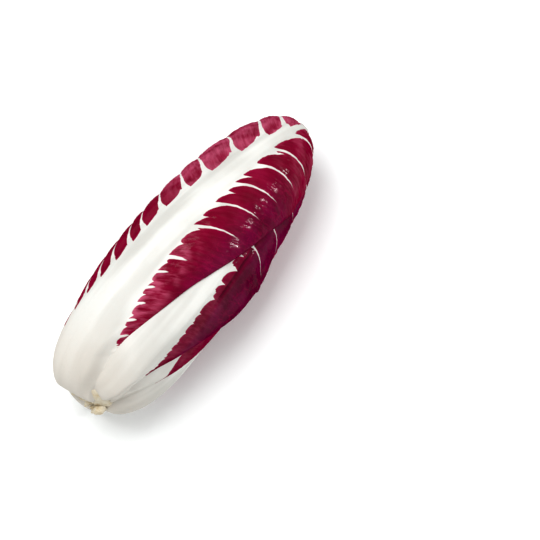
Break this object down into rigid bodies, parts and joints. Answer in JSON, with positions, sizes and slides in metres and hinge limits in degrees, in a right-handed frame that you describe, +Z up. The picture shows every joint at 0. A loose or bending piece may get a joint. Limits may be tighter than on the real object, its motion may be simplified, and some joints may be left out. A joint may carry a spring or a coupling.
{
  "type": "radicchio head",
  "caption": "Long, tightly closed head of red radicchio lying on its side, with thick white ribs and veins on crimson leaves.",
  "frame": {"origin": "middle of the flat spot on the lowest rib that the head rests on, below its centre of mass", "axes": "+X along the head from the cut stem to the tip, +Z up, -Z out of the flat spot into the table"},
  "size_m": [0.2133, 0.0792, 0.0804],
  "materials": {
    "rib": "smooth, slightly waxy off-white leaf rib",
    "leaf": "waxy crimson leaf with a soft shine",
    "stem": "dry cut stem, cream to tan"
  },
  "bodies": {
    "root": {"leaf_under_rib": "rib", "leaf_under_blade": "leaf", "leaf_front_rib": "rib", "leaf_front_blade": "leaf", "leaf_right_rib": "rib", "leaf_right_blade": "leaf", "leaf_right_low_rib": "rib", "leaf_right_low_blade": "leaf", "leaf_back_low_rib": "rib", "leaf_back_low_blade": "leaf", "leaf_left_rib": "rib", "leaf_left_blade": "leaf", "inner_leaf_1": "leaf", "inner_leaf_2": "leaf", "inner_leaf_3": "leaf", "inner_leaf_4": "leaf", "inner_leaf_5": "leaf", "heart": "leaf", "stem": "stem"}
  },
  "joints": []
}
